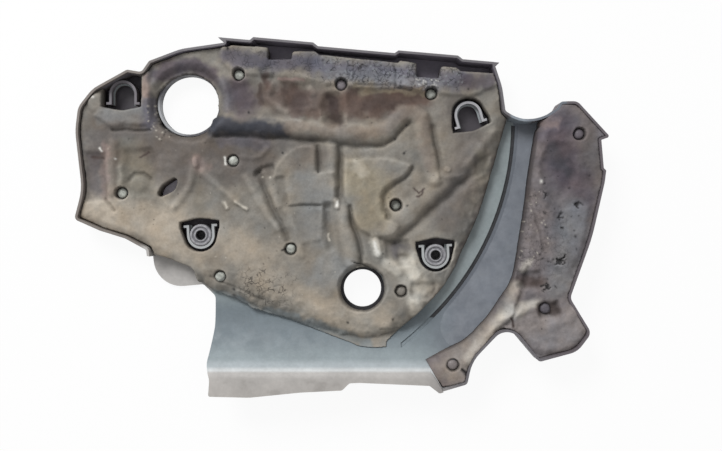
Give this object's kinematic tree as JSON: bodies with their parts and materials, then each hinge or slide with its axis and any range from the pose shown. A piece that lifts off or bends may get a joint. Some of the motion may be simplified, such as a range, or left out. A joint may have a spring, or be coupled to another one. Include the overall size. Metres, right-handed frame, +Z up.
{
  "type": "engine cover",
  "caption": "Moulded plastic engine cover lying underside up, with relief-moulded foam absorbers, ball-stud brackets, rubber grommets and filler openings.",
  "frame": {"origin": "centre of the cover's outline on the flat styled face that it lies on", "axes": "+X along the length towards the wing, +Y towards the straight rear rim, +Z up out of the underside; in use the cover is turned over, with -Z up"},
  "size_m": [0.5521, 0.3718, 0.0434],
  "materials": {
    "cover_plastic": "dusty satin moulded plastic",
    "absorber_foam": "soiled open-cell moulded foam",
    "grommet_rubber": "dusty matt rubber"
  },
  "bodies": {
    "root": {"cover_shell": "cover_plastic", "main_foam_pad": "absorber_foam", "wing_foam_pad": "absorber_foam", "left_grommet": "grommet_rubber", "right_grommet": "grommet_rubber"}
  },
  "joints": []
}
